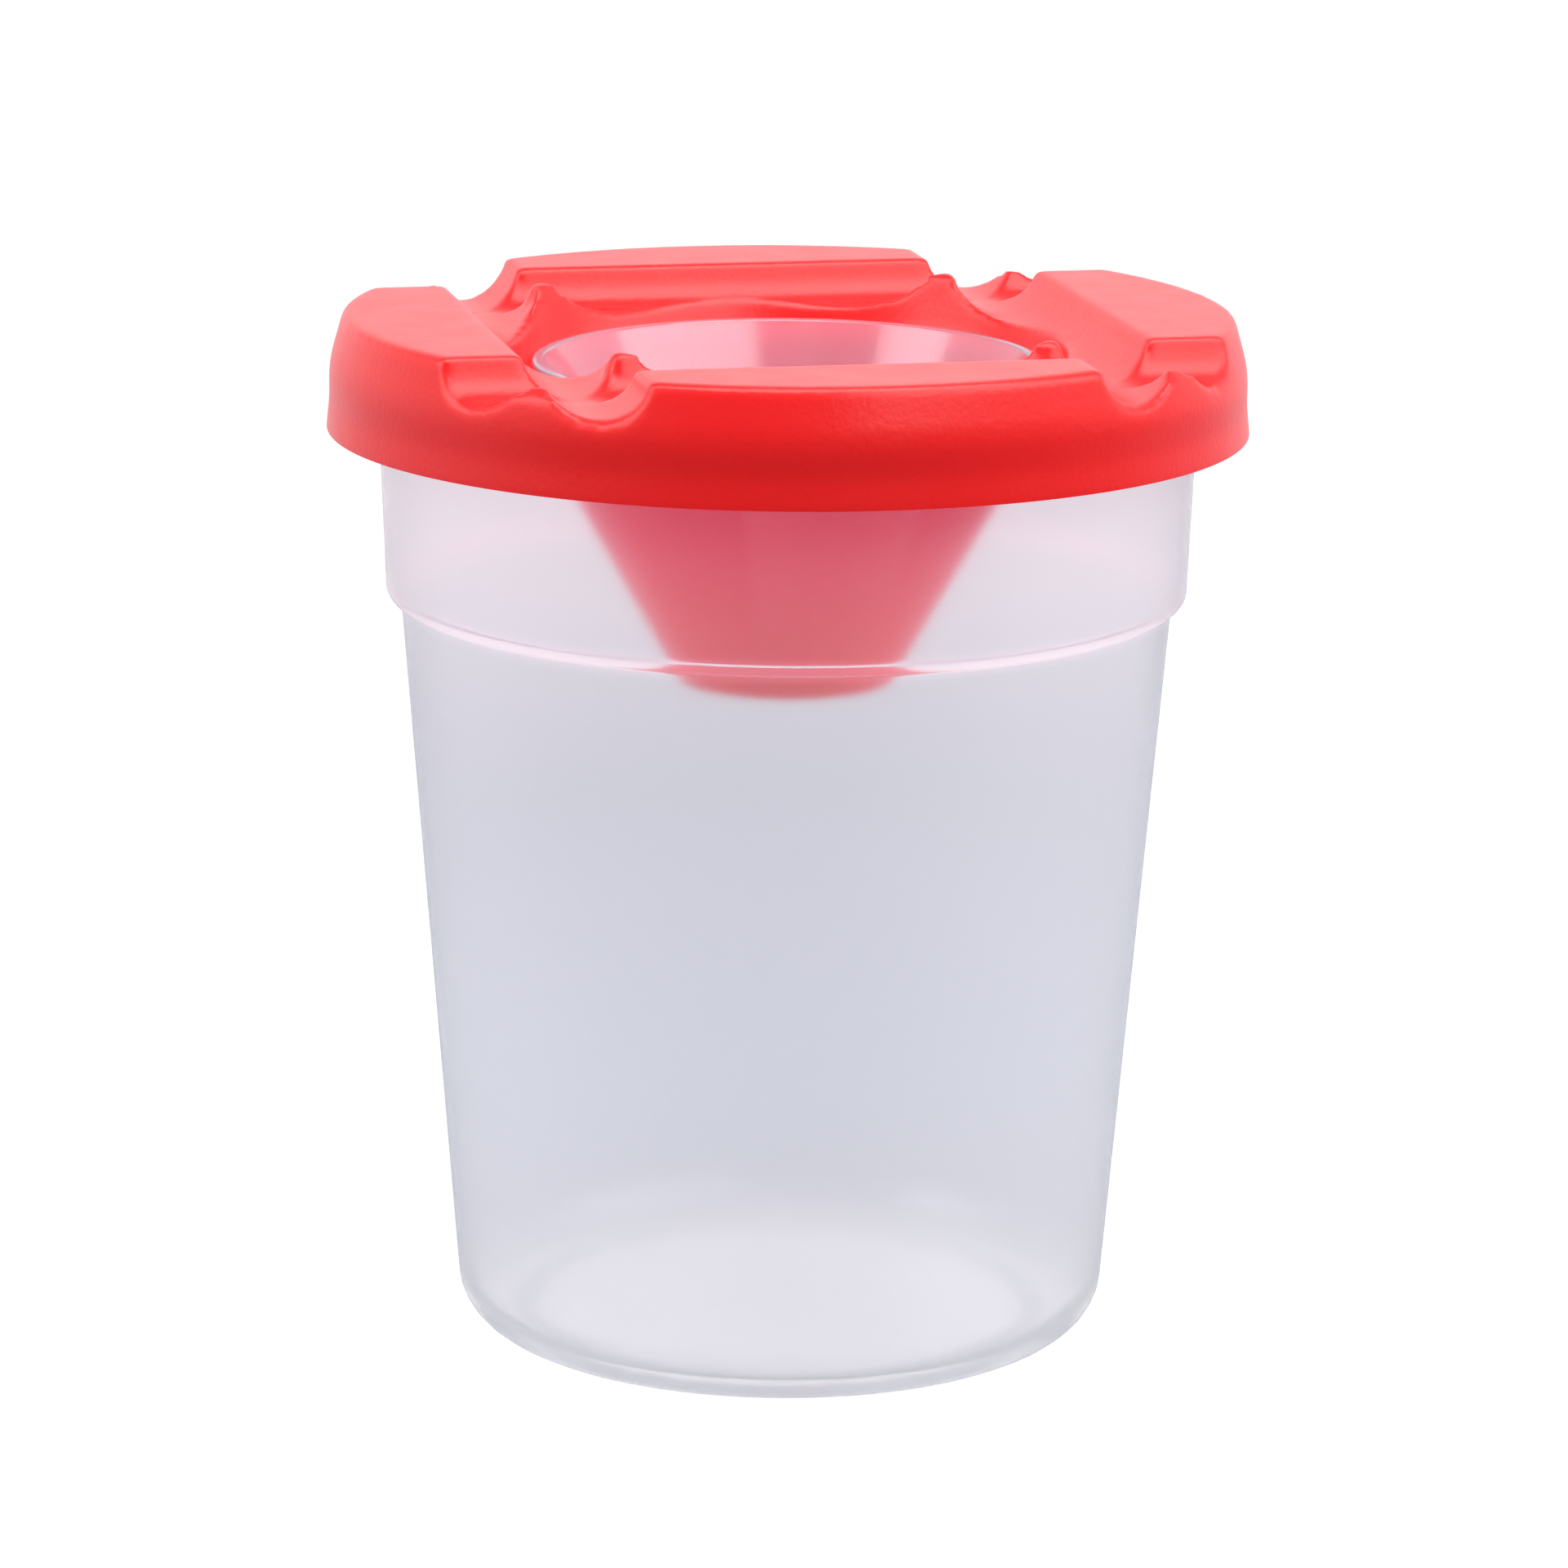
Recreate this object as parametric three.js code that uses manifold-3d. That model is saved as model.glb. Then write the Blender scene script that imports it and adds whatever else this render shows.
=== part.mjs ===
// A non-spill brush washer: a clear cup, a press-fit lid with a funnel and four brush rests, and a
// conical stopper that closes the funnel. Millimetres, +Z up, origin at the centre of the base.
// The brush rests run along X and Y.

import * as THREE from 'three';
import { mergeVertices } from 'three/addons/utils/BufferGeometryUtils.js';
import Module from 'manifold-3d';

const wasm = await Module();
wasm.setup();

// Overall size
const LID_DIAMETER = 77.5; // across the lower edge of the lid
const OVERALL_HEIGHT = 87.7; // from the table to the top of the lid

// Lid
const LID_WALL = 1.2;
const LID_SKIRT_HEIGHT = 9.6; // from the top of the lid to its lower edge
const LID_FLARE = 0.25; // how far the lower edge stands out from the skirt
const LID_FLARE_HEIGHT = 2.4;
const LID_BEVEL_HEIGHT = 4.2; // the upper part of the skirt, which leans in
const LID_BEVEL_INSET = 1.2; // how far it leans in
const LID_BEVEL_ROUND = 8; // where it meets the rest of the skirt
const LID_EDGE_ROUND = 1.0; // along the top edge
const POST_DROP = 2.17; // how far the four posts between crossing grooves stand below the top
const POST_ROUND = 1.0; // along their edges
const SNAP_BEAD = 0.45; // ridge inside the skirt that catches the cup's rim
const SNAP_BEAD_HEIGHT = 1.1;
const SEAL_RING_WALL = 0.8; // ring under the lid that plugs the cup's mouth
const SEAL_RING_REACH = 2.5; // how far it reaches below the cup's rim

// Brush rests, four straight half-round grooves across the lid
const GROOVE_OFFSET = 22.2; // from the axis to the middle of each groove
const GROOVE_WIDTH = 7.65; // between its edges, before they are rounded
const GROOVE_DEPTH = 3.24;
const GROOVE_EDGE_ROUND = 0.6;

// Four peaks at the funnel's mouth, where grooves cross
const PEAK_INSET = 0.5; // from the edges of both grooves to the middle of a peak
const PEAK_FOOT_RADIUS = 2.0; // at the underside of the lid's wall
const PEAK_TOP_RADIUS = 1.1;
const PEAK_ROUND = 0.8; // round its top

// Funnel
const FUNNEL_MOUTH_RADIUS = 25.6; // inside, at the top of the lid
const FUNNEL_OUTLET_RADIUS = 8.1; // inside, at the bottom
const FUNNEL_DEPTH = 31.3;
const FUNNEL_WALL = 0.9;

// Cup, whose radii follow from the lid that snaps over its rim
const CUP_WALL = 0.75;
const CUP_FLOOR = 1.2;
const RIM_WIDTH = 2.05; // how far the rim stands out from the collar
const RIM_HEIGHT = 1.2;
const RIM_ROUND = 0.4;
const COLLAR_HEIGHT = 19.46; // from the step up to the top of the rim
const COLLAR_DRAFT = 0.04; // gain in radius for each millimetre of height
const STEP_WIDTH = 1.2; // how far the collar stands out from the body
const STEP_ROUND = 1.15; // outside, under the collar
const SHELF_ROUND = 0.5; // inside, at the foot of the collar
const BODY_TAPER = 5.18; // how much smaller the body's radius is at the table than at the step
const CUP_EDGE_ROUND = 4.6; // outside, between the wall and the underside
const CUP_INNER_ROUND = 3.8; // inside, between the wall and the floor
const FOOT_RING_WIDTH = 1.8; // the ring that the cup stands on, inward of that rounding
const FOOT_RECESS = 0.6; // how far the underside is raised inside that ring

// Stopper
const STOPPER_RIM_DROP = 4.05; // from the top of the lid down to the stopper's rim
const STOPPER_RIM_CLEARANCE = 1.4; // between its rim and the funnel
const STOPPER_FOOT_RISE = 2.85; // from the funnel's outlet up to its underside
const STOPPER_WALL = 1.0;
const STOPPER_FLOOR = 1.2;
const STOPPER_LIP_ROUND = 0.34;
const STOPPER_EDGE_ROUND = 0.8; // outside, between its wall and underside
const STOPPER_INNER_ROUND = 2.0; // inside, between its wall and floor

// Clearances
const SEAT_GAP = 0.3; // between faces that rest on each other
const SNAP_GAP = 0.25; // between the cup's rim and the snap bead
const SEAL_GAP = 0.3; // between the cup's mouth and the seal ring

// Facets
const SIDES = 72; // round the axis
const PEAK_SIDES = 20;
const ARC_ACCURACY = 0.03; // how far a facet may lie from the curve that it stands for
const OVERCUT = 2; // how far a cutter runs past what it cuts

// Materials
const RED_PLASTIC = { color: 0xe8302c, roughness: 0.38, metalness: 0 };
const CLEAR_PLASTIC = {
  color: 0xdcdce6, roughness: 0.35, metalness: 0, transparent: true, opacity: 0.45,
};
const MILKY_PLASTIC = {
  color: 0xf1dfe8, roughness: 0.3, metalness: 0, transparent: true, opacity: 0.6,
};

// The straight line of a wall, known by its radius at two heights
function wallLine(lowHeight, lowRadius, highHeight, highRadius) {
  const slope = (highRadius - lowRadius) / (highHeight - lowHeight);
  const at = (height) => lowRadius + slope * (height - lowHeight);
  // radius of a face that lies a wall's thickness nearer the axis
  const inside = (height, thickness) => at(height) - thickness * Math.hypot(1, slope);
  return { at, inside };
}

// Points along an arc, as many as its radius needs
function arcPoints(x, y, radius, from, to, clockwise) {
  const turn = THREE.MathUtils.euclideanModulo(clockwise ? from - to : to - from, 2 * Math.PI);
  const facetTurn = 2 * Math.acos(Math.max(0, 1 - ARC_ACCURACY / radius));
  const arc = new THREE.EllipseCurve(x, y, radius, radius, from, to, clockwise);
  return arc.getPoints(Math.ceil(turn / facetTurn));
}

// The side of an outline from one of its corners to the next or the last. Two rounded corners
// share the room on their side.
function sideBetween(corner, neighbour) {
  const side = new THREE.Vector2(neighbour[0] - corner[0], neighbour[1] - corner[1]);
  const room = side.length() / (neighbour[2] ? 2 : 1);
  return { direction: side.normalize(), room };
}

// Points of an outline through corners of [radius, height, rounding]. A rounding is made smaller
// where the sides are too short for it.
function outlineThrough(corners) {
  return corners.flatMap((corner, i) => {
    const [x, y, rounding] = corner;
    const middle = new THREE.Vector2(x, y);
    if (!rounding) {
      return [middle];
    }
    const back = sideBetween(corner, corners[i - 1]);
    const on = sideBetween(corner, corners[i + 1]);
    const halfAngle = back.direction.angleTo(on.direction) / 2;
    const reach = Math.min(rounding / Math.tan(halfAngle), back.room, on.room);
    const bisector = back.direction.clone().add(on.direction);
    const centre = bisector.setLength(reach / Math.cos(halfAngle)).add(middle);
    const start = middle.clone().addScaledVector(back.direction, reach).sub(centre);
    const end = middle.clone().addScaledVector(on.direction, reach).sub(centre);
    const clockwise = back.direction.cross(on.direction) > 0;
    return arcPoints(centre.x, centre.y, start.length(), start.angle(), end.angle(), clockwise);
  });
}

// Turns an outline round the Z axis
function revolve(corners) {
  return new THREE.LatheGeometry(outlineThrough(corners), SIDES).rotateX(Math.PI / 2);
}

function toSolid(geometry) {
  const shell = geometry.clone();
  shell.deleteAttribute('normal');
  shell.deleteAttribute('uv');
  const merged = mergeVertices(shell, 1e-5);
  return new wasm.Manifold(new wasm.Mesh({
    numProp: 3,
    vertProperties: Float32Array.from(merged.attributes.position.array),
    triVerts: Uint32Array.from(merged.index.array),
  }));
}

function toGeometry(solid) {
  const { vertProperties, triVerts } = solid.getMesh();
  const geometry = new THREE.BufferGeometry();
  geometry.setAttribute('position', new THREE.BufferAttribute(vertProperties, 3));
  geometry.setIndex(new THREE.BufferAttribute(triVerts, 1));
  geometry.computeVertexNormals();
  return geometry;
}

function namedMesh(name, geometry, finish) {
  const mesh = new THREE.Mesh(geometry, new THREE.MeshStandardMaterial(finish));
  mesh.name = name;
  return mesh;
}

// Heights and radii that the pieces share
const lidTop = OVERALL_HEIGHT;
const lidFoot = lidTop - LID_SKIRT_HEIGHT;
const skirtRadius = LID_DIAMETER / 2 - LID_FLARE;
const skirtInside = skirtRadius - LID_WALL;
const rimTop = lidTop - GROOVE_DEPTH - LID_WALL - SEAT_GAP; // the undersides of the grooves rest on it
const rimFoot = rimTop - RIM_HEIGHT;
const rimRadius = skirtInside - SNAP_BEAD - SNAP_GAP;
const stepHeight = rimTop - COLLAR_HEIGHT;
const collarTopRadius = rimRadius - RIM_WIDTH;
const collarFootRadius = collarTopRadius - COLLAR_DRAFT * COLLAR_HEIGHT;
const collar = wallLine(stepHeight, collarFootRadius, rimTop, collarTopRadius);
const funnelFoot = lidTop - FUNNEL_DEPTH;
const funnel = wallLine(funnelFoot, FUNNEL_OUTLET_RADIUS, lidTop, FUNNEL_MOUTH_RADIUS);

// Cup: body, step, collar and rim in one wall
function cupGeometry() {
  const shoulderRadius = collarFootRadius - STEP_WIDTH;
  const baseRadius = shoulderRadius - BODY_TAPER;
  const body = wallLine(0, baseRadius, stepHeight, shoulderRadius);
  const footRadius = baseRadius - CUP_EDGE_ROUND - FOOT_RING_WIDTH;
  const floorTop = FOOT_RECESS + CUP_FLOOR;
  const shelf = stepHeight + CUP_WALL;
  return revolve([
    [0, FOOT_RECESS],
    [footRadius - FOOT_RECESS, FOOT_RECESS],
    [footRadius, 0],
    [baseRadius, 0, CUP_EDGE_ROUND],
    [shoulderRadius, stepHeight],
    [collarFootRadius, stepHeight, STEP_ROUND],
    [collar.at(rimFoot), rimFoot],
    [rimRadius, rimFoot, RIM_ROUND],
    [rimRadius, rimTop, RIM_ROUND],
    [collar.inside(rimTop, CUP_WALL), rimTop],
    [collar.inside(shelf, CUP_WALL), shelf, SHELF_ROUND],
    [body.inside(shelf, CUP_WALL), shelf],
    [body.inside(floorTop, CUP_WALL), floorTop, CUP_INNER_ROUND],
    [0, floorTop],
  ]);
}

// Outside of the lid before its grooves are cut
function lidDisc() {
  return toSolid(revolve([
    [0, lidFoot],
    [LID_DIAMETER / 2, lidFoot],
    [skirtRadius, lidFoot + LID_FLARE_HEIGHT],
    [skirtRadius, lidTop - LID_BEVEL_HEIGHT, LID_BEVEL_ROUND],
    [skirtRadius - LID_BEVEL_INSET, lidTop, LID_EDGE_ROUND],
    [0, lidTop],
  ]));
}

// Space under the lid, with the snap bead that catches under the cup's rim
function lidHollow() {
  const bevelFoot = lidTop - LID_BEVEL_HEIGHT;
  const bevel = wallLine(bevelFoot, skirtRadius, lidTop, skirtRadius - LID_BEVEL_INSET);
  const roof = lidTop - LID_WALL;
  const beadTop = rimFoot - SEAT_GAP;
  const beadFoot = beadTop - SNAP_BEAD_HEIGHT;
  return toSolid(revolve([
    [0, lidFoot - OVERCUT],
    [skirtInside, lidFoot - OVERCUT],
    [skirtInside, beadFoot],
    [skirtInside - SNAP_BEAD, (beadFoot + beadTop) / 2],
    [skirtInside, beadTop],
    [skirtInside, bevelFoot],
    [bevel.inside(roof, LID_WALL), roof],
    [0, roof],
  ]));
}

// One groove as a bar along Y, grown by a wall's thickness for the underside of the lid. Where
// its edges are rounded, it flares out into a level face at the height of the edge.
function grooveBar(growth, edgeRound, edgeHeight) {
  const halfWidth = GROOVE_WIDTH / 2;
  const grooveRadius = (halfWidth ** 2 + GROOVE_DEPTH ** 2) / (2 * GROOVE_DEPTH);
  const centre = lidTop - GROOVE_DEPTH + grooveRadius;
  const radius = grooveRadius + growth;
  const edgeCentre = edgeHeight - edgeRound;
  const rise = centre - edgeCentre;
  const reach = Math.sqrt((radius + edgeRound) ** 2 - rise ** 2);
  const lean = Math.atan2(rise, reach); // of the line from the groove's centre to an edge's
  const above = lidTop + OVERCUT;
  const section = [
    new THREE.Vector2(-reach, above),
    ...arcPoints(0, centre, radius, Math.PI + lean, 2 * Math.PI - lean, false),
    new THREE.Vector2(reach, above),
  ];
  if (edgeRound > 0) {
    section.splice(1, 0, ...arcPoints(-reach, edgeCentre, edgeRound, Math.PI / 2, lean, true));
    section.splice(-1, 0, ...arcPoints(reach, edgeCentre, edgeRound, Math.PI - lean, Math.PI / 2, true));
  }
  const length = LID_DIAMETER + 2 * OVERCUT;
  const bar = new THREE.ExtrudeGeometry(new THREE.Shape(section), {
    depth: length, bevelEnabled: false,
  });
  return bar.translate(0, 0, -length / 2).rotateX(Math.PI / 2);
}

// All four grooves, two along Y and two along X
function grooves(growth, edgeRound, edgeHeight) {
  const bars = [-1, 1].flatMap((side) => {
    const bar = grooveBar(growth, edgeRound, edgeHeight).translate(side * GROOVE_OFFSET, 0, 0);
    return [toSolid(bar), toSolid(bar.clone().rotateZ(Math.PI / 2))];
  });
  return bars.reduce((all, bar) => all.add(bar));
}

// The four corners outside the middles of the grooves, from a height up
function corners(foot) {
  const width = LID_DIAMETER / 2 - GROOVE_OFFSET + OVERCUT;
  const middle = GROOVE_OFFSET + width / 2;
  const height = lidTop + OVERCUT - foot;
  const box = new THREE.BoxGeometry(width, width, height).translate(middle, middle, foot + height / 2);
  const boxes = [0, 1, 2, 3].map((turns) => toSolid(box.clone().rotateZ(turns * Math.PI / 2)));
  return boxes.reduce((all, one) => all.add(one));
}

// What lowers and rounds the four posts that stand at the rim between crossing grooves
function postCutters() {
  const postTop = lidTop - POST_DROP;
  const flares = grooves(0, POST_ROUND, postTop).intersect(corners(postTop - GROOVE_DEPTH));
  return flares.add(corners(postTop));
}

// The four blunt cones between crossing grooves at the funnel's mouth
function peaks() {
  const foot = lidTop - GROOVE_DEPTH - LID_WALL;
  const middle = GROOVE_OFFSET - GROOVE_WIDTH / 2 - PEAK_INSET;
  const peak = new THREE.LatheGeometry(outlineThrough([
    [0, foot], [PEAK_FOOT_RADIUS, foot], [PEAK_TOP_RADIUS, lidTop, PEAK_ROUND], [0, lidTop],
  ]), PEAK_SIDES).rotateX(Math.PI / 2).translate(middle, middle, 0);
  const all = [0, 1, 2, 3].map((turns) => toSolid(peak.clone().rotateZ(turns * Math.PI / 2)));
  return all.reduce((joined, one) => joined.add(one));
}

// The funnel as a full cone, grown by a wall's thickness for its outside
function funnelCone(growth, foot, top) {
  return toSolid(revolve([
    [0, foot],
    [funnel.inside(foot, -growth), foot],
    [funnel.inside(top, -growth), top],
    [0, top],
  ]));
}

// Ring under the lid that fits the mouth of the cup
function sealRing() {
  const foot = rimTop - SEAL_RING_REACH;
  const outer = collar.inside(foot, CUP_WALL) - SEAL_GAP;
  const inner = outer - SEAL_RING_WALL;
  return toSolid(revolve([
    [inner, foot], [outer, foot], [outer, lidTop], [inner, lidTop], [inner, foot],
  ]));
}

// Lid: an even shell over the disc, with the funnel hanging from it as one moulding
function lidGeometry() {
  const funnelOutside = funnelCone(FUNNEL_WALL, funnelFoot, lidTop);
  const hollow = lidHollow()
    .subtract(grooves(LID_WALL, 0, lidTop))
    .subtract(funnelOutside)
    .subtract(sealRing());
  return toGeometry(lidDisc()
    .subtract(hollow)
    .add(funnelOutside)
    .subtract(grooves(0, GROOVE_EDGE_ROUND, lidTop))
    .subtract(postCutters())
    .subtract(funnelCone(0, funnelFoot - OVERCUT, lidTop + OVERCUT))
    .add(peaks()));
}

// Stopper: a thin cone with a closed floor. It stands on the funnel near the outlet and leans
// away from it higher up, so that it seals on one circle and pulls out easily.
function stopperGeometry() {
  const rim = lidTop - STOPPER_RIM_DROP;
  const foot = funnelFoot + STOPPER_FOOT_RISE;
  const floorTop = foot + STOPPER_FLOOR;
  const rimRadiusOutside = funnel.inside(rim, STOPPER_RIM_CLEARANCE);
  const wall = wallLine(foot, funnel.inside(foot, SEAT_GAP), rim, rimRadiusOutside);
  return revolve([
    [0, foot],
    [wall.at(foot), foot, STOPPER_EDGE_ROUND],
    [wall.at(rim), rim, STOPPER_LIP_ROUND],
    [wall.inside(rim, STOPPER_WALL), rim, STOPPER_LIP_ROUND],
    [wall.inside(floorTop, STOPPER_WALL), floorTop, STOPPER_INNER_ROUND],
    [0, floorTop],
  ]);
}

const brushWasher = new THREE.Group();
brushWasher.add(
  namedMesh('cup', cupGeometry(), CLEAR_PLASTIC),
  namedMesh('lid', lidGeometry(), RED_PLASTIC),
  namedMesh('stopper', stopperGeometry(), MILKY_PLASTIC),
);

export default brushWasher;
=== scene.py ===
import math

import bpy
from mathutils import Matrix, Vector


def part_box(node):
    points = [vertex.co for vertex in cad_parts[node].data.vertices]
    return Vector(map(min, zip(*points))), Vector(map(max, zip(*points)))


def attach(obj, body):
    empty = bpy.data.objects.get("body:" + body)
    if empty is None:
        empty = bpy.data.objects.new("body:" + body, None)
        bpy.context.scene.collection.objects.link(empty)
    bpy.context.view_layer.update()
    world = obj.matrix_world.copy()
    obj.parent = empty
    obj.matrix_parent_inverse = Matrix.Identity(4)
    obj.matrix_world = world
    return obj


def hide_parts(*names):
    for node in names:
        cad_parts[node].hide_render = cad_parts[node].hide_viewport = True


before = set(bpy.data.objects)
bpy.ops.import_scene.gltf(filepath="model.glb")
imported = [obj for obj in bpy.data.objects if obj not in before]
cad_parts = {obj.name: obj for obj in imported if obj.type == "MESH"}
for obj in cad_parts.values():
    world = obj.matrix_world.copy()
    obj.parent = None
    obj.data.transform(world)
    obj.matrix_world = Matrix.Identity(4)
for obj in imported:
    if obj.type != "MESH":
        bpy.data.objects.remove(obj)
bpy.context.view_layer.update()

# Cup
# A single thin shell of natural polypropylene, injection moulded: a tapering body, a step, a
# collar and an outward rim that the lid clips over. It stands on a ring round its underside.

MM = 0.001
CUP_SIDES = 192
CUP_WALL = 0.75 * MM
CUP_FLOOR = 1.2 * MM
RIM_WIDTH = 2.05 * MM
RIM_HEIGHT = 1.2 * MM
RIM_ROUND = 0.4 * MM
UNDER_RIM_ROUND = 0.3 * MM
MOUTH_ROUND = 0.2 * MM
COLLAR_HEIGHT = 19.46 * MM
COLLAR_DRAFT = 0.04
STEP_WIDTH = 1.2 * MM
STEP_ROUND = 1.15 * MM
SHOULDER_ROUND = 0.25 * MM
SHELF_ROUND = 0.5 * MM
SHELF_EDGE_ROUND = 0.3 * MM
BODY_TAPER = 5.18 * MM
CUP_EDGE_ROUND = 4.6 * MM
CUP_INNER_ROUND = 3.8 * MM
FOOT_RING_WIDTH = 1.8 * MM
FOOT_RECESS = 0.6 * MM
FOOT_ROUND = 0.3 * MM
GATE_RADIUS = 1.5 * MM
GATE_TAPER = 0.6
GATE_HEIGHT = 0.3 * MM
GATE_ROUND = 0.1 * MM
EDGE_SEGMENTS = 8
ROUND_PROFILE = 0.5
SAME_PLACE = 0.005 * MM
TURNED_SMOOTHING = 35


def only(piece):
    """Makes a piece the only one selected, and the one that operators act on."""
    bpy.ops.object.select_all(action="DESELECT")
    piece.select_set(True)
    bpy.context.view_layer.objects.active = piece


def settle():
    """Moves a new object's place and turn into its mesh."""
    bpy.ops.object.transform_apply(location=True, rotation=True, scale=True)


def face_outwards():
    """Turns every face of the mesh outwards and leaves edit mode."""
    bpy.ops.mesh.select_all(action="SELECT")
    bpy.ops.mesh.normals_make_consistent(inside=False)
    bpy.ops.object.mode_set(mode="OBJECT")


def round_ring(piece, before, ring, after):
    """Rounds the edge that runs round a turned piece at one ring of its outline."""
    radius, height, rounding = ring
    to_before = Vector((before[0] - radius, before[1] - height)).normalized()
    to_after = Vector((after[0] - radius, after[1] - height)).normalized()
    reach = rounding / math.tan(to_before.angle(to_after) / 2)
    mesh = piece.data
    on_ring = [
        abs(math.hypot(vertex.co.x, vertex.co.y) - radius) < SAME_PLACE
        and abs(vertex.co.z - height) < SAME_PLACE
        for vertex in mesh.vertices
    ]
    only(piece)
    bpy.ops.object.mode_set(mode="EDIT")
    bpy.ops.mesh.select_mode(type="EDGE")
    bpy.ops.mesh.select_all(action="DESELECT")
    bpy.ops.object.mode_set(mode="OBJECT")
    for edge in mesh.edges:
        edge.select = on_ring[edge.vertices[0]] and on_ring[edge.vertices[1]]
    bpy.ops.object.mode_set(mode="EDIT")
    bpy.ops.mesh.bevel(
        offset_type="OFFSET",
        offset=reach,
        segments=EDGE_SEGMENTS,
        profile=ROUND_PROFILE,
        affect="EDGES",
        clamp_overlap=False,
    )
    bpy.ops.object.mode_set(mode="OBJECT")


def turned(name, rings, sides):
    """A round solid drawn out ring by ring: radius, height and, for a soft edge, its rounding."""
    bpy.ops.object.select_all(action="DESELECT")
    radius, height = rings[0][:2]
    bpy.ops.mesh.primitive_circle_add(
        vertices=sides, radius=radius, fill_type="NGON", location=(0, 0, height)
    )
    piece = bpy.context.object
    piece.name = name
    settle()
    bpy.ops.object.mode_set(mode="EDIT")
    bpy.ops.mesh.select_mode(type="FACE")
    for next_radius, next_height, *_ in rings[1:]:
        rise = next_height - height
        growth = next_radius / radius
        bpy.ops.mesh.extrude_region_move(TRANSFORM_OT_translate={"value": (0, 0, rise)})
        bpy.ops.transform.resize(value=(growth, growth, 1), center_override=(0, 0, next_height))
        radius, height = next_radius, next_height
    face_outwards()
    for before, ring, after in zip(rings, rings[1:], rings[2:]):
        if len(ring) == 3:
            round_ring(piece, before, ring, after)
    return piece


def smooth(piece, angle):
    """Shades a piece smooth wherever its faces meet at less than an angle in degrees."""
    only(piece)
    bpy.ops.object.shade_smooth_by_angle(angle=math.radians(angle))


cup_low, cup_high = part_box("cup")
rim_top = cup_high.z
rim_radius = cup_high.x
rim_foot = rim_top - RIM_HEIGHT
collar_top = rim_radius - RIM_WIDTH
collar_foot = collar_top - COLLAR_DRAFT * COLLAR_HEIGHT
step_height = rim_top - COLLAR_HEIGHT
shoulder = collar_foot - STEP_WIDTH
base_radius = shoulder - BODY_TAPER
body_slope = BODY_TAPER / step_height
shelf = step_height + CUP_WALL
floor_top = FOOT_RECESS + CUP_FLOOR
foot_inside = base_radius - CUP_EDGE_ROUND - FOOT_RING_WIDTH
body_wall = CUP_WALL * math.hypot(1, body_slope)
collar_wall = CUP_WALL * math.hypot(1, COLLAR_DRAFT)

cup = turned(
    "cup_shell",
    [
        (GATE_RADIUS * GATE_TAPER, FOOT_RECESS - GATE_HEIGHT),
        (GATE_RADIUS, FOOT_RECESS, GATE_ROUND),
        (foot_inside - FOOT_RECESS, FOOT_RECESS, FOOT_ROUND),
        (foot_inside, 0, FOOT_ROUND),
        (base_radius, 0, CUP_EDGE_ROUND),
        (shoulder, step_height, SHOULDER_ROUND),
        (collar_foot, step_height, STEP_ROUND),
        (collar_top - COLLAR_DRAFT * RIM_HEIGHT, rim_foot, UNDER_RIM_ROUND),
        (rim_radius, rim_foot, RIM_ROUND),
        (rim_radius, rim_top, RIM_ROUND),
        (collar_top - collar_wall, rim_top, MOUTH_ROUND),
        (collar_foot + COLLAR_DRAFT * CUP_WALL - collar_wall, shelf, SHELF_ROUND),
        (base_radius + body_slope * shelf - body_wall, shelf, SHELF_EDGE_ROUND),
        (base_radius + body_slope * floor_top - body_wall, floor_top, CUP_INNER_ROUND),
        (GATE_RADIUS, floor_top),
    ],
    CUP_SIDES,
)
smooth(cup, TURNED_SMOOTHING)

CLEAR_PLASTIC = {
    "Base Color": (0.94, 0.935, 0.95, 1),
    "Transmission Weight": 0.93,
    "IOR": 1.09,
    "Coat Weight": 0.5,
    "Coat Roughness": 0.15,
    "Emission Strength": 1.0,
}
CLEAR_ROUGHNESS = (0.287, 0.295)
CLEAR_GRAIN_DEPTH = 0.004 * MM
# Painted light: faint pink emission colours for the wall at the step and on the collar above it
PAINTED_STEP_LIGHT = (0.085, 0.045, 0.057, 1)
STEP_GLOW_BELOW = 0.9 * MM
STEP_GLOW_ABOVE = 0.4 * MM
PAINTED_COLLAR_LIGHT = (0.014, 0.005, 0.008, 1)
COLLAR_GLOW_START = 0.1 * MM
COLLAR_GLOW_FULL = 0.9 * MM
NO_GLOW = (0, 0, 0, 1)

# Patterns of noise: turns for each millimetre, detail, and scale along each axis
FLOW_MARKS = (0.12, 3, (1, 1, 0.15))
CLEAR_GRAIN = (1.5, 2, (1, 1, 1))

# Where the colours stand among the sockets of Blender's mix node
FIRST_COLOUR = 6
SECOND_COLOUR = 7
MIXED_COLOUR = 2


def new_material(name, settings):
    """A material with the given values on its shader, its nodes, and that shader."""
    material = bpy.data.materials.new(name)
    material.use_nodes = True
    shader = material.node_tree.nodes["Principled BSDF"]
    for socket, value in settings.items():
        shader.inputs[socket].default_value = value
    return material, material.node_tree, shader


def noise(tree, scale, detail, stretch):
    """Noise in the piece's own space."""
    place = tree.nodes.new("ShaderNodeTexCoord")
    mapping = tree.nodes.new("ShaderNodeMapping")
    mapping.inputs["Scale"].default_value = stretch
    texture = tree.nodes.new("ShaderNodeTexNoise")
    texture.inputs["Scale"].default_value = scale / MM
    texture.inputs["Detail"].default_value = detail
    tree.links.new(place.outputs["Object"], mapping.inputs["Vector"])
    tree.links.new(mapping.outputs["Vector"], texture.inputs["Vector"])
    return texture.outputs["Fac"]


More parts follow.
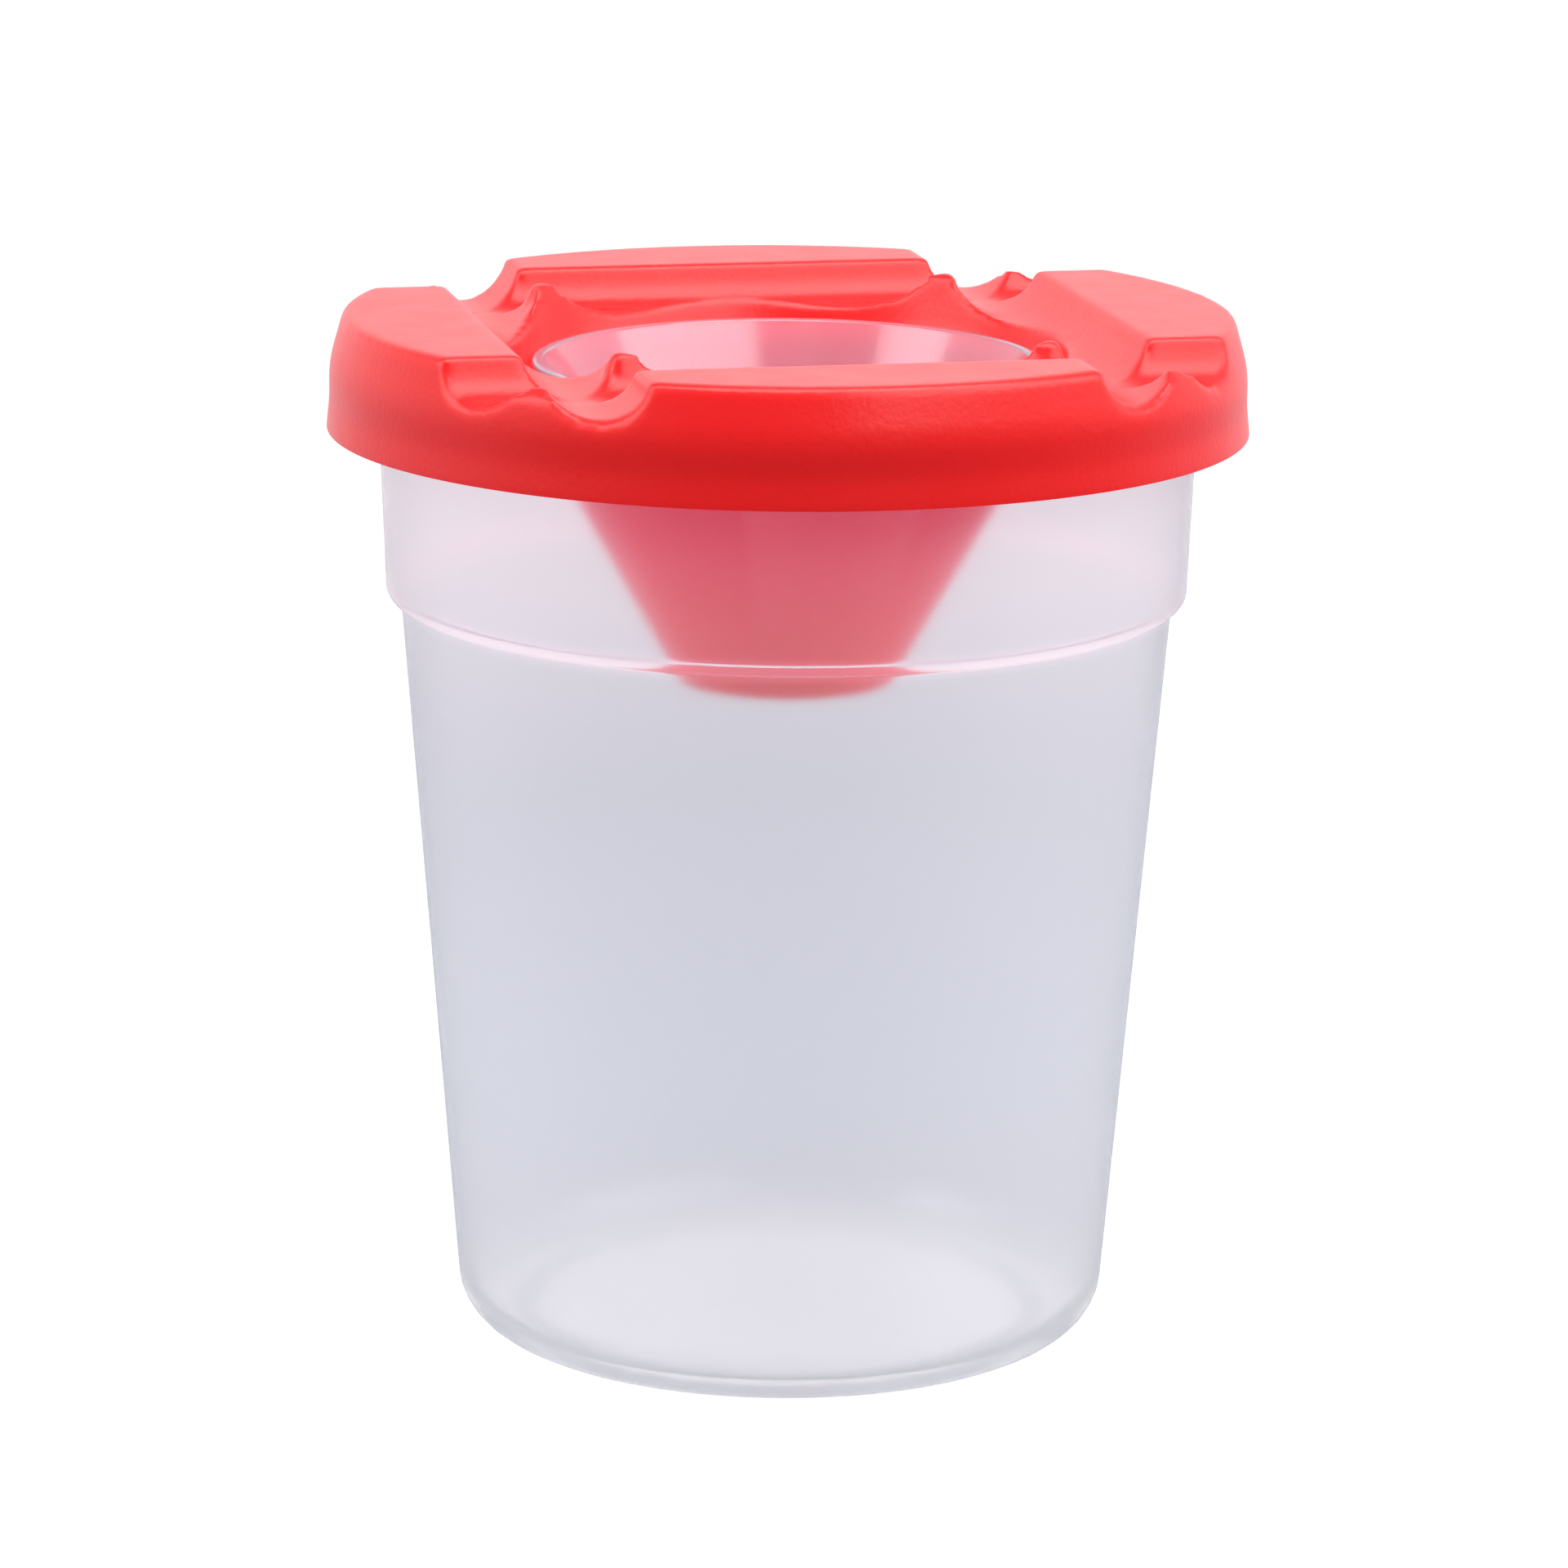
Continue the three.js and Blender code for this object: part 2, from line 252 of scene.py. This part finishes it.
def between(tree, value, low, high, start=0.0, end=1.0):
    """A value from a start to an end spread between two others."""
    node = tree.nodes.new("ShaderNodeMapRange")
    node.inputs["From Min"].default_value = start
    node.inputs["From Max"].default_value = end
    node.inputs["To Min"].default_value = low
    node.inputs["To Max"].default_value = high
    tree.links.new(value, node.inputs["Value"])
    return node.outputs["Result"]


def vary_gloss(tree, shader, pattern, limits):
    """Lets the roughness wander between two limits."""
    roughness = between(tree, noise(tree, *pattern), *limits)
    tree.links.new(roughness, shader.inputs["Roughness"])


def mould_grain(tree, shader, pattern, depth):
    """Gives the surface the fine relief that the mould leaves on it, of a depth in metres."""
    relief = tree.nodes.new("ShaderNodeBump")
    relief.inputs["Distance"].default_value = depth
    tree.links.new(noise(tree, *pattern), relief.inputs["Height"])
    tree.links.new(relief.outputs["Normal"], shader.inputs["Normal"])


def position(tree, space):
    """The three coordinates of a point, each on a socket of its own."""
    place = tree.nodes.new("ShaderNodeTexCoord")
    axes = tree.nodes.new("ShaderNodeSeparateXYZ")
    tree.links.new(place.outputs[space], axes.inputs["Vector"])
    return axes


def blend(tree, factor, first, second):
    """A colour between two others, each given as a colour or as a socket."""
    node = tree.nodes.new("ShaderNodeMix")
    node.data_type = "RGBA"
    tree.links.new(factor, node.inputs["Factor"])
    for number, colour in ((FIRST_COLOUR, first), (SECOND_COLOUR, second)):
        if isinstance(colour, tuple):
            node.inputs[number].default_value = colour
        else:
            tree.links.new(colour, node.inputs[number])
    return node.outputs[MIXED_COLOUR]


def let_light_in(tree, shader, colour=(1, 1, 1, 1)):
    """Lets the lamps shine through the plastic on what is inside."""
    path = tree.nodes.new("ShaderNodeLightPath")
    open_way = tree.nodes.new("ShaderNodeBsdfTransparent")
    open_way.inputs["Color"].default_value = colour
    mix = tree.nodes.new("ShaderNodeMixShader")
    tree.links.new(path.outputs["Is Shadow Ray"], mix.inputs["Fac"])
    tree.links.new(shader.outputs["BSDF"], mix.inputs[1])
    tree.links.new(open_way.outputs["BSDF"], mix.inputs[2])
    tree.links.new(mix.outputs["Shader"], tree.nodes["Material Output"].inputs["Surface"])


clear_plastic, tree, shader = new_material("clear_polypropylene", CLEAR_PLASTIC)
vary_gloss(tree, shader, FLOW_MARKS, CLEAR_ROUGHNESS)
mould_grain(tree, shader, CLEAR_GRAIN, CLEAR_GRAIN_DEPTH)
# Painted light: a faint pink glow in the wall round the step, and a fainter one on the collar
# above it, stands in for the red lid's light scattered in the plastic
heights = position(tree, "Object").outputs["Z"]
at_step = between(
    tree, heights, 0, 1, step_height - STEP_GLOW_BELOW, step_height + STEP_GLOW_ABOVE
)
above_step = between(tree, heights, 0, 1, shelf + COLLAR_GLOW_START, shelf + COLLAR_GLOW_FULL)
painted_step_light = blend(tree, at_step, NO_GLOW, PAINTED_STEP_LIGHT)
painted_wall_light = blend(tree, above_step, painted_step_light, PAINTED_COLLAR_LIGHT)
tree.links.new(painted_wall_light, shader.inputs["Emission Color"])
let_light_in(tree, shader)
cup.data.materials.append(clear_plastic)
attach(cup, "cup")
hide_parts("cup")

# Lid
# One soft red polyethylene moulding of even thickness: a disc with a skirt, four half-round
# brush rests pressed across it, and a funnel hanging from its middle. It clips over the cup's rim.

LID_SIDES = 256
LID_WALL = 1.2 * MM
LID_SKIRT_HEIGHT = 9.6 * MM
LID_FLARE = 0.25 * MM
LID_FLARE_HEIGHT = 2.4 * MM
LID_BEVEL_HEIGHT = 4.2 * MM
LID_BEVEL_INSET = 1.2 * MM
LID_BEVEL_ROUND = 8 * MM
LID_EDGE_ROUND = 0.5 * MM
LID_MIDDLE = 5 * MM
CLIP_BEAD = 0.45 * MM
CLIP_BEAD_HEIGHT = 1.1 * MM
SEAT_GAP = 0.3 * MM
SEAL_GAP = 0.3 * MM
SEAL_RING_WALL = 0.8 * MM
SEAL_RING_REACH = 2.5 * MM
GROOVE_SIDES = 96
GROOVE_OFFSET = 22.2 * MM
GROOVE_WIDTH = 7.65 * MM
GROOVE_DEPTH = 3.24 * MM
LIP_WIDTH = 0.6 * MM
LIP_DROP = 0.45 * MM
FUNNEL_MOUTH = 25.6 * MM
FUNNEL_OUTLET = 8.1 * MM
FUNNEL_DEPTH = 31.3 * MM
FUNNEL_WALL = 0.9 * MM
FUNNEL_ROOT = 1 * MM
THROAT_DEPTH = 4.5 * MM
THROAT_MOUTH = 24.7 * MM
CORNERS = 4
POST_DROP = 1.2 * MM
POST_SLOPE = 0.75
POST_CUT = 16 * MM
PEAK_SIDES = 32
PEAK_INSET = 0.45 * MM
PEAK_DEPTH = 1.6 * MM
PEAK_FOOT_RADIUS = 1.3 * MM
PEAK_TOP_RADIUS = 0.7 * MM
OVERCUT = 2 * MM
MOULD_GRID = 0.36 * MM
SOFTENING = 0.5
SOFTENING_ROUNDS = 8
LID_SMOOTHING = 60

lid_low, lid_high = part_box("lid")
lid_top = lid_high.z
lid_foot = lid_top - LID_SKIRT_HEIGHT
skirt = lid_high.x - LID_FLARE
skirt_inside = skirt - LID_WALL
bevel_foot = lid_top - LID_BEVEL_HEIGHT
block_foot = lid_foot - OVERCUT
groove_radius = (GROOVE_WIDTH**2 / 4 + GROOVE_DEPTH**2) / (2 * GROOVE_DEPTH)
groove_height = lid_top - GROOVE_DEPTH + groove_radius
funnel_foot = lid_top - FUNNEL_DEPTH
funnel_slope = (FUNNEL_MOUTH - FUNNEL_OUTLET) / FUNNEL_DEPTH
funnel_lean = math.hypot(1, funnel_slope)


def apply_modifier(piece, kind, **settings):
    """Puts a modifier on a piece, sets it and applies it."""
    only(piece)
    bpy.ops.object.modifier_add(type=kind)
    modifier = piece.modifiers[-1]
    for setting, value in settings.items():
        setattr(modifier, setting, value)
    bpy.ops.object.modifier_apply(modifier=modifier.name)


def combine(piece, operation, tool):
    apply_modifier(piece, "BOOLEAN", operation=operation, solver="MANIFOLD", object=tool)


def cut(piece, tool):
    combine(piece, "DIFFERENCE", tool)
    bpy.data.objects.remove(tool)


def join(piece, tool):
    combine(piece, "UNION", tool)
    bpy.data.objects.remove(tool)


def quarter_turns(number):
    """Turns a new object round the lid's axis."""
    angle = number * math.pi / 2
    bpy.ops.transform.rotate(value=angle, orient_axis="Z", center_override=(0, 0, 0))
    settle()


def groove_bar(growth, side, along_x):
    """A half-round bar across the lid with an open top, grown all round by a thickness."""
    bpy.ops.object.select_all(action="DESELECT")
    bpy.ops.mesh.primitive_cylinder_add(
        vertices=GROOVE_SIDES,
        radius=groove_radius + growth,
        depth=2 * (lid_high.x + OVERCUT),
        location=(side * GROOVE_OFFSET, 0, groove_height),
        rotation=(math.pi / 2, 0, 0),
    )
    bar = bpy.context.object
    settle()
    bpy.ops.object.mode_set(mode="EDIT")
    bpy.ops.mesh.select_all(action="SELECT")
    bpy.ops.mesh.bisect(
        plane_co=(0, 0, groove_height), plane_no=(0, 0, 1), clear_outer=True, use_fill=True
    )
    bpy.ops.mesh.extrude_region_move(TRANSFORM_OT_translate={"value": (0, 0, OVERCUT)})
    face_outwards()
    if along_x:
        quarter_turns(1)
    return bar


def funnel_radius(height):
    return FUNNEL_OUTLET + funnel_slope * (height - funnel_foot)


def funnel_cone(growth, foot, top):
    """The funnel as a full cone between two heights, grown by its wall for its outside."""
    grown = growth * funnel_lean
    rings = [(funnel_radius(foot) + grown, foot), (funnel_radius(top) + grown, top)]
    return turned("cone", rings, LID_SIDES)


def round_bar(name, radius, foot, top):
    return turned(name, [(radius, foot), (radius, top)], LID_SIDES)


# The block that the disc and its skirt are shaped from, grooved across, with a lip at each exit
lid = turned(
    "lid_moulding",
    [
        (lid_high.x, block_foot),
        (lid_high.x, lid_foot),
        (skirt, lid_foot + LID_FLARE_HEIGHT),
        (skirt, bevel_foot, LID_BEVEL_ROUND),
        (skirt - LID_BEVEL_INSET, lid_top, LID_EDGE_ROUND),
        (LID_MIDDLE, lid_top),
    ],
    LID_SIDES,
)
lip_ring = round_bar("lip_ring", lid_high.x + OVERCUT, block_foot, lid_top + OVERCUT)
lip_bore = skirt - LIP_WIDTH
cut(lip_ring, round_bar("bore", lip_bore, block_foot - OVERCUT, lid_top + 2 * OVERCUT))
for side in (-1, 1):
    for along_x in (False, True):
        cut(lid, groove_bar(0, side, along_x))
        lip = groove_bar(LIP_DROP, side, along_x)
        combine(lip, "INTERSECT", lip_ring)
        cut(lid, lip)
bpy.data.objects.remove(lip_ring)

# The four posts outside the crossings are lower than the disc and slope outwards
post_middle = GROOVE_OFFSET + GROOVE_WIDTH / 4 + POST_CUT / 2
post_edge = GROOVE_OFFSET + GROOVE_WIDTH / 2
post_lean = POST_SLOPE / math.sqrt(2)
for turn in range(CORNERS):
    bpy.ops.object.select_all(action="DESELECT")
    bpy.ops.mesh.primitive_cube_add(size=POST_CUT, location=(post_middle, post_middle, lid_top))
    over_post = bpy.context.object
    settle()
    bpy.ops.object.mode_set(mode="EDIT")
    bpy.ops.mesh.select_all(action="SELECT")
    bpy.ops.mesh.bisect(
        plane_co=(post_edge, post_edge, lid_top - POST_DROP),
        plane_no=(post_lean, post_lean, 1),
        clear_inner=True,
        use_fill=True,
    )
    face_outwards()
    quarter_turns(turn)
    cut(lid, over_post)

# A thick plug for the funnel, bored to its cone, whose outside is cut back to the wall later
plug_foot = funnel_foot - OVERCUT
join(lid, funnel_cone(2 * FUNNEL_WALL, plug_foot, lid_foot + FUNNEL_ROOT))
throat = lid_top - THROAT_DEPTH
throat_slope = (THROAT_MOUTH - funnel_radius(throat)) / THROAT_DEPTH
bore_foot = plug_foot - OVERCUT
bore_rings = [
    (funnel_radius(bore_foot), bore_foot),
    (funnel_radius(throat), throat),
    (THROAT_MOUTH + throat_slope * OVERCUT, lid_top + OVERCUT),
]
cut(lid, turned("bore", bore_rings, LID_SIDES))

# The small peaks that are left where the grooves and the funnel's mouth meet
peak_middle = GROOVE_OFFSET - GROOVE_WIDTH / 2 - PEAK_INSET
peak_reach = math.sqrt(2) * peak_middle
peak_foot = lid_top - PEAK_DEPTH
peak_height = lid_top - peak_foot
for turn in range(CORNERS):
    angle = math.pi / 4 + turn * math.pi / 2
    across = peak_reach * math.cos(angle)
    along = peak_reach * math.sin(angle)
    bpy.ops.object.select_all(action="DESELECT")
    bpy.ops.mesh.primitive_cone_add(
        vertices=PEAK_SIDES,
        radius1=PEAK_FOOT_RADIUS,
        radius2=PEAK_TOP_RADIUS,
        depth=peak_height,
        location=(across, along, peak_foot + peak_height / 2),
    )
    peak = bpy.context.object
    settle()
    join(lid, peak)
apply_modifier(lid, "REMESH", mode="VOXEL", voxel_size=MOULD_GRID)
apply_modifier(lid, "SMOOTH", factor=SOFTENING, iterations=SOFTENING_ROUNDS)

# What is hollow inside the skirt: a wall is left under the grooves and round the funnel, and the
# ring that plugs the cup's mouth is left standing
roof = lid_top - LID_WALL
bead_top = rim_foot - SEAT_GAP
bead_foot = bead_top - CLIP_BEAD_HEIGHT
bevel_lean = LID_BEVEL_INSET / LID_BEVEL_HEIGHT
bevel_wall = LID_WALL * math.hypot(1, bevel_lean)
hollow = turned(
    "hollow",
    [
        (lid_high.x + OVERCUT, plug_foot - 2 * OVERCUT),
        (lid_high.x + OVERCUT, lid_foot),
        (skirt_inside, lid_foot),
        (skirt_inside, bead_foot),
        (skirt_inside - CLIP_BEAD, (bead_foot + bead_top) / 2),
        (skirt_inside, bead_top),
        (skirt_inside, bevel_foot),
        (skirt - LID_BEVEL_INSET + bevel_lean * LID_WALL - bevel_wall, roof),
    ],
    LID_SIDES,
)
for side in (-1, 1):
    for along_x in (False, True):
        cut(hollow, groove_bar(LID_WALL, side, along_x))
cut(hollow, funnel_cone(FUNNEL_WALL, funnel_foot, lid_top))
seal_foot = rim_top - SEAL_RING_REACH
seal_outer = collar_top - COLLAR_DRAFT * SEAL_RING_REACH - collar_wall - SEAL_GAP
seal_inner = seal_outer - SEAL_RING_WALL
seal = round_bar("seal", seal_outer, seal_foot, lid_top)
cut(seal, round_bar("bore", seal_inner, seal_foot - OVERCUT, lid_top + OVERCUT))
cut(hollow, seal)
cut(lid, hollow)
smooth(lid, LID_SMOOTHING)

RED_PLASTIC = {
    "Base Color": (0.80, 0.010, 0.0115, 1),
    "IOR": 1.43,
    "Subsurface Weight": 0.35,
    "Subsurface Radius": (1, 0.12, 0.1),
    "Subsurface Scale": 1.0 * MM,
    "Emission Strength": 1.0,
}
RED_ROUGHNESS = (0.27, 0.36)
RED_CLOUDS = (0.25, 3, (1, 1, 1))
RED_GRAIN = (2.0, 2, (1, 1, 1))
RED_GRAIN_DEPTH = 0.025 * MM
# Painted light: the red emission colour for the funnel's outside, and where it fades out
PAINTED_FUNNEL_LIGHT = (0.30, 0.0, 0.045, 1)
FUNNEL_GLOW_FULL = 1.5 * MM
FUNNEL_GLOW_END = 0.5 * MM
FOOT_SHARE = 0.3
FOOT_REACH = 12 * MM
WALL_BLEND = 0.15 * MM


def cone_offset(tree, slope):
    """How far a point lies from the axis, less what the cone widens up to its height."""
    place = tree.nodes.new("ShaderNodeTexCoord")
    flat = tree.nodes.new("ShaderNodeVectorMath")
    flat.operation = "MULTIPLY"
    flat.inputs[1].default_value = (1, 1, 0)
    reach = tree.nodes.new("ShaderNodeVectorMath")
    reach.operation = "LENGTH"
    offset = tree.nodes.new("ShaderNodeMath")
    offset.operation = "MULTIPLY_ADD"
    offset.inputs[1].default_value = -slope
    tree.links.new(place.outputs["Object"], flat.inputs[0])
    tree.links.new(flat.outputs["Vector"], reach.inputs[0])
    tree.links.new(position(tree, "Object").outputs["Z"], offset.inputs[0])
    tree.links.new(reach.outputs["Value"], offset.inputs[2])
    return offset.outputs["Value"]


red_plastic, tree, shader = new_material("red_polyethylene", RED_PLASTIC)
vary_gloss(tree, shader, RED_CLOUDS, RED_ROUGHNESS)
mould_grain(tree, shader, RED_GRAIN, RED_GRAIN_DEPTH)

# Painted light: a red glow on the funnel's outside below the skirt, weaker towards its foot, that
# brightens it as seen through the cup
heights = position(tree, "Object").outputs["Z"]
below_skirt = between(
    tree, heights, 1, 0, lid_foot - FUNNEL_GLOW_FULL, lid_foot - FUNNEL_GLOW_END
)
from_foot = between(tree, heights, FOOT_SHARE, 1, funnel_foot, funnel_foot + FOOT_REACH)
wall_middle = FUNNEL_OUTLET - funnel_slope * funnel_foot + FUNNEL_WALL * funnel_lean / 2
offsets = cone_offset(tree, funnel_slope)
outside = between(tree, offsets, 0, 1, wall_middle - WALL_BLEND, wall_middle + WALL_BLEND)
painted_funnel_light = blend(tree, from_foot, NO_GLOW, PAINTED_FUNNEL_LIGHT)
painted_low_light = blend(tree, below_skirt, NO_GLOW, painted_funnel_light)
tree.links.new(blend(tree, outside, NO_GLOW, painted_low_light), shader.inputs["Emission Color"])
lid.data.materials.clear()
lid.data.materials.append(red_plastic)
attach(lid, "lid")
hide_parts("lid")

# Stopper
# A thin cone of milky polypropylene with a closed floor and a rounded rim, injection moulded. It
# is pushed into the funnel by hand and pulled out by its rim.

STOPPER_SIDES = 192
STOPPER_WALL = 1.0 * MM
STOPPER_FLOOR = 1.2 * MM
STOPPER_RIM_GAP = 1.4 * MM
STOPPER_LIP_ROUND = 0.34 * MM
STOPPER_EDGE_ROUND = 0.8 * MM
STOPPER_INNER_ROUND = 2.0 * MM
STOPPER_MIDDLE = 1 * MM

stopper_low, stopper_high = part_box("stopper")
stopper_foot_radius = funnel_radius(stopper_low.z) - SEAT_GAP * funnel_lean
stopper_rim_radius = funnel_radius(stopper_high.z) - STOPPER_RIM_GAP * funnel_lean
stopper_slope = (stopper_rim_radius - stopper_foot_radius) / (stopper_high.z - stopper_low.z)
stopper_wall = STOPPER_WALL * math.hypot(1, stopper_slope)
stopper_floor_top = stopper_low.z + STOPPER_FLOOR
stopper_floor_radius = stopper_foot_radius + stopper_slope * STOPPER_FLOOR - stopper_wall
stopper = turned(
    "stopper_cone",
    [
        (stopper_foot_radius / 2, stopper_low.z),
        (stopper_foot_radius, stopper_low.z, STOPPER_EDGE_ROUND),
        (stopper_rim_radius, stopper_high.z, STOPPER_LIP_ROUND),
        (stopper_rim_radius - stopper_wall, stopper_high.z, STOPPER_LIP_ROUND),
        (stopper_floor_radius, stopper_floor_top, STOPPER_INNER_ROUND),
        (STOPPER_MIDDLE, stopper_floor_top),
    ],
    STOPPER_SIDES,
)
smooth(stopper, TURNED_SMOOTHING)

MILKY_PLASTIC = {
    "Base Color": (0.82, 0.66, 0.80, 1),
    "Transmission Weight": 0.88,
    "IOR": 1.58,
}
MILKY_ROUGHNESS = (0.13, 0.19)
MILKY_SHADE = (0.58, 0.52, 0.57, 1)
milky_plastic, tree, shader = new_material("milky_polypropylene", MILKY_PLASTIC)
vary_gloss(tree, shader, FLOW_MARKS, MILKY_ROUGHNESS)
let_light_in(tree, shader, MILKY_SHADE)
stopper.data.materials.append(milky_plastic)
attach(stopper, "stopper")
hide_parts("stopper")

# Studio
# A pale table top in a white tent that is dark in front and overhead, with a tall window at each
# side of it and a soft box above.

TABLE_SIZE = 8
PALE_TABLE = {
    "Base Color": (0.10, 0.10, 0.10, 1),
    "Roughness": 0.9,
    "Specular IOR Level": 0.0,
    "Emission Color": (1.0, 1.0, 1.0, 1),
    "Emission Strength": 0.93,
}

# How the table shines on the pot: the distance behind its axis in metres, and the colour there
TABLE_GLOW = (
    (-0.20, (0.16, 0.16, 0.17, 1)),
    (-0.10, (0.48, 0.48, 0.50, 1)),
    (-0.01, (0.54, 0.555, 0.605, 1)),
    (0.07, (0.58, 0.62, 0.70, 1)),
    (0.20, (0.605, 0.64, 0.72, 1)),
    (0.36, (0.99, 0.93, 0.98, 1)),
)


def seen_and_cast(tree, output, cast, seen):
    """Shows one shader to the eye while another one lights the pot and shows through it."""
    path = tree.nodes.new("ShaderNodeLightPath")
    mix = tree.nodes.new("ShaderNodeMixShader")
    tree.links.new(path.outputs["Is Camera Ray"], mix.inputs["Fac"])
    tree.links.new(cast, mix.inputs[1])
    tree.links.new(seen, mix.inputs[2])
    tree.links.new(mix.outputs["Shader"], output.inputs["Surface"])


bpy.ops.object.select_all(action="DESELECT")
bpy.ops.mesh.primitive_plane_add(size=TABLE_SIZE, location=(0, 0, 0))
table = bpy.context.object
table.name = "table_top"
pale, tree, shader = new_material("pale_table", PALE_TABLE)
nearest = TABLE_GLOW[0][0]
farthest = TABLE_GLOW[-1][0]
away = between(tree, position(tree, "Object").outputs["Y"], 0, 1, nearest, farthest)
shades = tree.nodes.new("ShaderNodeValToRGB")
for distance, _ in TABLE_GLOW[1:-1]:
    shades.color_ramp.elements.new((distance - nearest) / (farthest - nearest))
for stop, (_, colour) in zip(shades.color_ramp.elements, TABLE_GLOW):
    stop.color = colour
shine = tree.nodes.new("ShaderNodeEmission")
tree.links.new(away, shades.inputs["Fac"])
tree.links.new(shades.outputs["Color"], shine.inputs["Color"])
output = tree.nodes["Material Output"]
seen_and_cast(tree, output, shine.outputs["Emission"], shader.outputs["BSDF"])
table.data.materials.append(pale)

# Each light's name, place, width and height in metres, watts, and the point that it faces
LIGHTS = (
    ("window_left", (-0.699, -0.029, 0.88), (0.5, 1.0), 6.0, (0, 0, 0.88)),
    ("window_right", (0.515, -0.474, 0.88), (1.2, 1.0), 13.3, (0, 0, 0.88)),
    ("overhead", (0.05, -0.12, 0.95), (0.9, 0.6), 8.6, (0, 0, 0.07)),
)
for name, place, size, watts, aim in LIGHTS:
    bpy.ops.object.light_add(type="AREA", location=place)
    light = bpy.context.object
    light.name = name
    light.data.shape = "RECTANGLE"
    light.data.size, light.data.size_y = size
    light.data.energy = watts
    light.visible_camera = False
    light.rotation_euler = (Vector(aim) - Vector(place)).to_track_quat("-Z", "Y").to_euler()

# The tent's shades, and where each goes over into the next along its depth and its height
TENT_FRONT = (0.18, 0.18, 0.18, 1)
TENT_BACK = (1.20, 1.17, 1.20, 1)
TENT_TOP = (0.15, 0.15, 0.15, 1)
TENT_SEEN = (1, 1, 1, 1)
FRONT_ENDS = -0.8
BACK_STARTS = 0.1
SIDES_END = 0.3
TOP_STARTS = 0.95

world = bpy.data.worlds.new("white_tent")
world.use_nodes = True
bpy.context.scene.world = world
tree = world.node_tree
ways = position(tree, "Generated")
to_back = between(tree, ways.outputs["Y"], 0, 1, FRONT_ENDS, BACK_STARTS)
to_top = between(tree, ways.outputs["Z"], 0, 1, SIDES_END, TOP_STARTS)
tent = blend(tree, to_top, blend(tree, to_back, TENT_FRONT, TENT_BACK), TENT_TOP)
cast = tree.nodes["Background"]
tree.links.new(tent, cast.inputs["Color"])
seen = tree.nodes.new("ShaderNodeBackground")
seen.inputs["Color"].default_value = TENT_SEEN
output = tree.nodes["World Output"]
seen_and_cast(tree, output, cast.outputs["Background"], seen.outputs["Background"])

# Camera
# A long lens a little above the lid. It looks down at the pot, which stands turned a little to
# one side.

CAMERA_DISTANCE = 545.48 * MM
CAMERA_HEIGHT = 176.51 * MM
CAMERA_SIDE = -0.027 * MM
CAMERA_TURN = math.radians(12.6)
CAMERA_PITCH = math.radians(13.36)
CAMERA_ROLL = 0.010
LENS = 151.0
SENSOR = 36
NEAREST_SEEN = 0.01

bpy.ops.object.camera_add()
camera = bpy.context.object
camera.name = "camera"
camera.data.lens = LENS
camera.data.sensor_width = SENSOR
camera.data.clip_start = NEAREST_SEEN
turn_round = Matrix.Rotation(-CAMERA_TURN, 4, "Z")
step_back = Matrix.Translation((CAMERA_SIDE, -CAMERA_DISTANCE, CAMERA_HEIGHT))
look_down = Matrix.Rotation(math.pi / 2 - CAMERA_PITCH, 4, "X")
roll = Matrix.Rotation(CAMERA_ROLL, 4, "Z")
camera.matrix_world = turn_round @ step_back @ look_down @ roll
bpy.context.scene.camera = camera
bpy.context.scene.view_settings.view_transform = "Standard"
